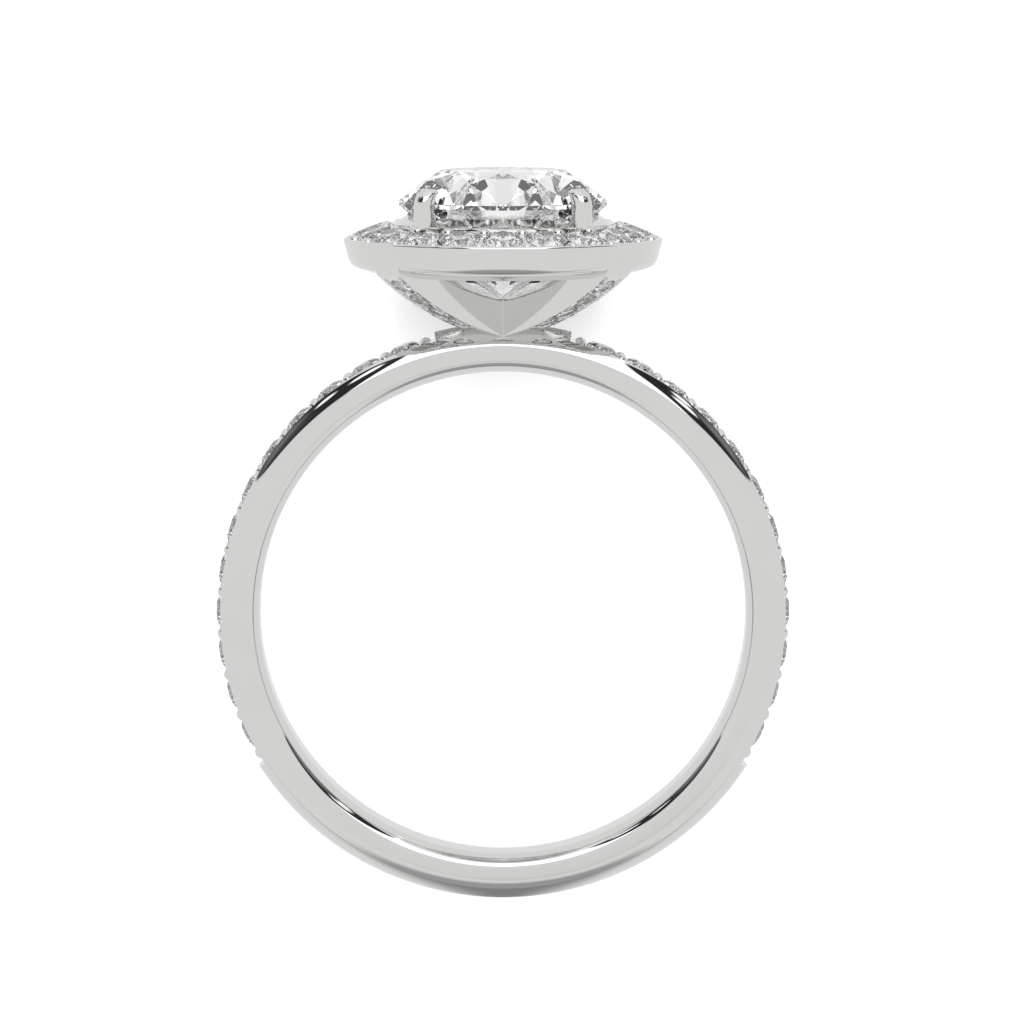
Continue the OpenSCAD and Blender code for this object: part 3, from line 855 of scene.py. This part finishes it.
def build_floor():
    """A matt pale floor that the metal mirrors as an even glow with a darker fan in front, a painted
    shadow.
    """
    bpy.ops.object.select_all(action="DESELECT")
    bpy.ops.mesh.primitive_plane_add(size=FLOOR_SIZE)
    floor = bpy.context.object
    floor.name = "floor"
    made, tree, out = material("floor_white")
    shader = new_node(tree, "ShaderNodeBsdfPrincipled", Roughness=0.9, Specular_IOR_Level=0.0)
    shader.inputs["Base Color"].default_value = grey(FLOOR_TONE)
    place = tree.nodes.new("ShaderNodeTexCoord")
    fan = new_node(tree, "ShaderNodeMapping", {"vector_type": "TEXTURE"})
    fan.inputs["Location"].default_value = (0, FAN_START, 0)
    fan.inputs["Rotation"].default_value = (0, 0, -math.pi / 2)
    tree.links.new(place.outputs["Object"], fan.inputs["Vector"])
    round_about = new_node(tree, "ShaderNodeTexGradient", {"gradient_type": "RADIAL"})
    tree.links.new(fan.outputs["Vector"], round_about.inputs["Vector"])
    full, soft = FAN_REACH
    # The fan's darker tone is a painted shadow
    fan_stops = ((-soft, FLOOR_MIRRORED), (-full, FAN_SHADOW_TONE), (full, FAN_SHADOW_TONE), (soft, FLOOR_MIRRORED))
    stops = [(0.5 + aside / 360, tone) for aside, tone in fan_stops]
    glow = tree.nodes.new("ShaderNodeEmission")
    tree.links.new(ramp(tree, round_about.outputs["Fac"], "EASE", stops), glow.inputs["Color"])
    rays = tree.nodes.new("ShaderNodeLightPath")
    seen = tree.nodes.new("ShaderNodeMixShader")
    tree.links.new(rays.outputs["Is Glossy Ray"], seen.inputs[0])
    tree.links.new(shader.outputs["BSDF"], seen.inputs[1])
    tree.links.new(glow.outputs[0], seen.inputs[2])
    tree.links.new(seen.outputs[0], out.inputs["Surface"])
    floor.data.materials.append(made)


def light_floor():
    """A wide soft light from the front that only the matt floor takes."""
    data = bpy.data.lights.new("floor_light", "SUN")
    data.energy = FLOOR_LIGHT
    data.angle = math.radians(FLOOR_LIGHT_SPREAD)
    lamp = bpy.data.objects.new("floor_light", data)
    lamp.visible_glossy = False
    lamp.visible_transmission = False
    bpy.context.scene.collection.objects.link(lamp)


# Brightness of the studio by height in degrees, in the metal's reflections
ZONES = ((-90, 0.86), (21, 0.85), (23, 0.78), (90, 1.0))
# Studio panels about the upright ring, in degrees: across and up to the middle, half sizes, lean, softness,
# roundness from 0 for a box to 1 for an ellipse, and light. Across is measured round the ring from the
# camera, or, for the soft box and the panel under the ring, from the ring's own plane. Later panels hide
# earlier ones
LEFT_PANELS = [
    (-57.0, 33.0, 36.0, 27.5, -4.0, 1.2, 1.0, 0.03),
    (-79.0, 31.0, 13.0, 8.0, 0.0, 5.0, 1.0, 0.2),
    (-57.0, 29.0, 10.0, 5.0, 0.0, 4.0, 1.0, 0.08),
    (-55.0, 51.0, 8.5, 4.5, -18.0, 1.0, 1.0, 1.7),
    (-67.5, 43.0, 7.5, 2.8, -8.0, 1.0, 1.0, 1.5),
]
RIGHT_PANELS = [
    (62.0, 34.0, 33.0, 27.0, 4.0, 1.2, 1.0, 0.03),
    (78.0, 32.0, 12.0, 8.5, 0.0, 5.0, 1.0, 0.22),
    (58.0, 38.5, 8.5, 3.2, 15.0, 1.0, 1.0, 1.6),
    (77.5, 44.5, 7.5, 2.6, 4.0, 1.0, 1.0, 1.5),
]
SOFT_BOX = (3.8, 41.0, 24.9, 20.5, 0.0, 1.0, 0.0, 1.85)
LOW_PANELS = [
    (0.0, -35.0, 200.0, 56.5, 0.0, 0.8, 0.0, 0.86),
    (0.0, 20.6, 23.0, 1.1, 0.0, 0.8, 0.0, 0.42),
    (-103.0, 25.5, 14.0, 1.4, 0.0, 0.8, 0.0, 0.1),
    (103.0, 25.5, 14.0, 1.4, 0.0, 0.8, 0.0, 0.1),
    (4.0, -21.0, 9.5, 9.0, 0.0, 4.0, 1.0, 0.77),
]
UNDER_PANEL = (0.0, -72.0, 27.0, 29.0, 0.0, 8.0, 1.0, 0.4)
# What the stones see through their facets: patches that start at these shares, and their brightness
SPARKLE = ((0.0, 0.02), (0.09, 0.5), (0.2, 1.0), (0.38, 1.45))
SPARKLE_SCALE = 8.0
# Sockets of the panel group that a panel's first seven values go to
PANEL_VALUES = (
    "Middle Across",
    "Middle Up",
    "Half Width",
    "Half Height",
    "Lean",
    "Softness",
    "Roundness",
)


def panel_group():
    """A soft-edged leaning box or ellipse in a map of two angles: where it covers the map."""
    tree, start, end = group(
        "soft_panel",
        [
            ("Across", "NodeSocketFloat", 0.0),
            ("Up", "NodeSocketFloat", 0.0),
            ("Middle Across", "NodeSocketFloat", 0.0),
            ("Middle Up", "NodeSocketFloat", 0.0),
            ("Half Width", "NodeSocketFloat", 10.0),
            ("Half Height", "NodeSocketFloat", 10.0),
            ("Lean", "NodeSocketFloat", 0.0),
            ("Softness", "NodeSocketFloat", 1.0),
            ("Roundness", "NodeSocketFloat", 0.0),
        ],
        [("Cover", "NodeSocketFloat")],
    )

    offset = tree.nodes.new("ShaderNodeCombineXYZ")
    for axis, label in (("X", "Across"), ("Y", "Up")):
        away = worked(tree, "SUBTRACT", start.outputs[label], start.outputs["Middle " + label])
        tree.links.new(away, offset.inputs[axis])
    turned = new_node(tree, "ShaderNodeVectorRotate", {"rotation_type": "Z_AXIS", "invert": True})
    tree.links.new(offset.outputs[0], turned.inputs["Vector"])
    tree.links.new(worked(tree, "RADIANS", start.outputs["Lean"]), turned.inputs["Angle"])
    split = tree.nodes.new("ShaderNodeSeparateXYZ")
    tree.links.new(turned.outputs[0], split.inputs[0])
    aside = worked(tree, "ABSOLUTE", split.outputs["X"])
    above = worked(tree, "ABSOLUTE", split.outputs["Y"])
    across = worked(tree, "DIVIDE", aside, start.outputs["Half Width"])
    up = worked(tree, "DIVIDE", above, start.outputs["Half Height"])
    boxed = worked(tree, "MAXIMUM", across, up)
    across_squared = worked(tree, "MULTIPLY", across, across)
    up_squared = worked(tree, "MULTIPLY", up, up)
    squares = worked(tree, "ADD", across_squared, up_squared)
    shape = new_node(tree, "ShaderNodeMix", {"data_type": "FLOAT"})
    tree.links.new(start.outputs["Roundness"], shape.inputs["Factor"])
    tree.links.new(boxed, shape.inputs["A"])
    tree.links.new(worked(tree, "SQRT", squares), shape.inputs["B"])
    within = worked(tree, "SUBTRACT", 1.0, shape.outputs[0])
    inside = worked(tree, "MULTIPLY", within, start.outputs["Half Height"])
    edge = new_node(tree, "ShaderNodeMapRange", {"interpolation_type": "SMOOTHSTEP"}, From_Min=-1.0)
    tree.links.new(worked(tree, "DIVIDE", inside, start.outputs["Softness"]), edge.inputs["Value"])
    tree.links.new(edge.outputs["Result"], end.inputs["Cover"])
    return tree


def light_studio():
    """The world: soft panels that the metal mirrors, and bright patches that the stones let through."""
    world = bpy.data.worlds.new("studio")
    bpy.context.scene.world = world
    world.use_nodes = True
    tree = world.node_tree
    tree.nodes.clear()
    way = tree.nodes.new("ShaderNodeTexCoord")
    upright = new_node(tree, "ShaderNodeVectorRotate", {"rotation_type": "X_AXIS"})
    upright.inputs["Angle"].default_value = math.radians(90 - REST_TILT)
    tree.links.new(way.outputs["Generated"], upright.inputs["Vector"])
    split = tree.nodes.new("ShaderNodeSeparateXYZ")
    tree.links.new(upright.outputs[0], split.inputs[0])
    front = worked(tree, "MULTIPLY", split.outputs["Y"], -1.0)
    around = worked(tree, "DEGREES", worked(tree, "ARCTAN2", split.outputs["X"], front))
    up = worked(tree, "DEGREES", worked(tree, "ARCSINE", split.outputs["Z"]))
    sideways = worked(tree, "DEGREES", worked(tree, "ARCSINE", split.outputs["X"]))

    share = new_node(tree, "ShaderNodeMapRange", From_Min=-90.0, From_Max=90.0)
    tree.links.new(up, share.inputs["Value"])
    stops = [((height + 90) / 180, tone) for height, tone in ZONES]
    light = ramp(tree, share.outputs["Result"], "LINEAR", stops)
    panel = panel_group()
    panels = [(around, one) for one in LEFT_PANELS + RIGHT_PANELS]
    panels += [(sideways, SOFT_BOX)] + [(around, one) for one in LOW_PANELS]
    panels += [(sideways, UNDER_PANEL)]
    for across, values in panels:
        node = new_node(tree, "ShaderNodeGroup", {"node_tree": panel})
        tree.links.new(across, node.inputs["Across"])
        tree.links.new(up, node.inputs["Up"])
        for label, value in zip(PANEL_VALUES, values):
            node.inputs[label].default_value = value
        light = blend(tree, node.outputs["Cover"], light, grey(values[-1]))

    cells = new_node(tree, "ShaderNodeTexVoronoi", Scale=SPARKLE_SCALE)
    tree.links.new(upright.outputs[0], cells.inputs["Vector"])
    draw = tree.nodes.new("ShaderNodeSeparateColor")
    tree.links.new(cells.outputs["Color"], draw.inputs[0])
    sparkle = ramp(tree, draw.outputs[0], "CONSTANT", SPARKLE)
    rays = tree.nodes.new("ShaderNodeLightPath")
    through = blend(tree, rays.outputs["Is Transmission Ray"], light, sparkle)
    glow = tree.nodes.new("ShaderNodeBackground")
    tree.links.new(through, glow.inputs["Color"])
    out = tree.nodes.new("ShaderNodeOutputWorld")
    tree.links.new(glow.outputs[0], out.inputs["Surface"])


def set_light_paths():
    """Lets light bounce often enough to cross the stones and the hollows of the gallery."""
    cycles = bpy.context.scene.cycles
    cycles.max_bounces = 20
    cycles.glossy_bounces = 12
    cycles.transmission_bounces = 16
    cycles.caustics_reflective = False
    cycles.caustics_refractive = False


place_camera()
gold = white_gold()
build_band(gold)
build_halo(gold)
build_ribs(gold)
build_ridges(gold)
build_claws(gold)
build_beads(gold)
dress_stones()
build_floor()
light_floor()
light_studio()
set_light_paths()
bpy.context.scene.view_settings.view_transform = "Standard"
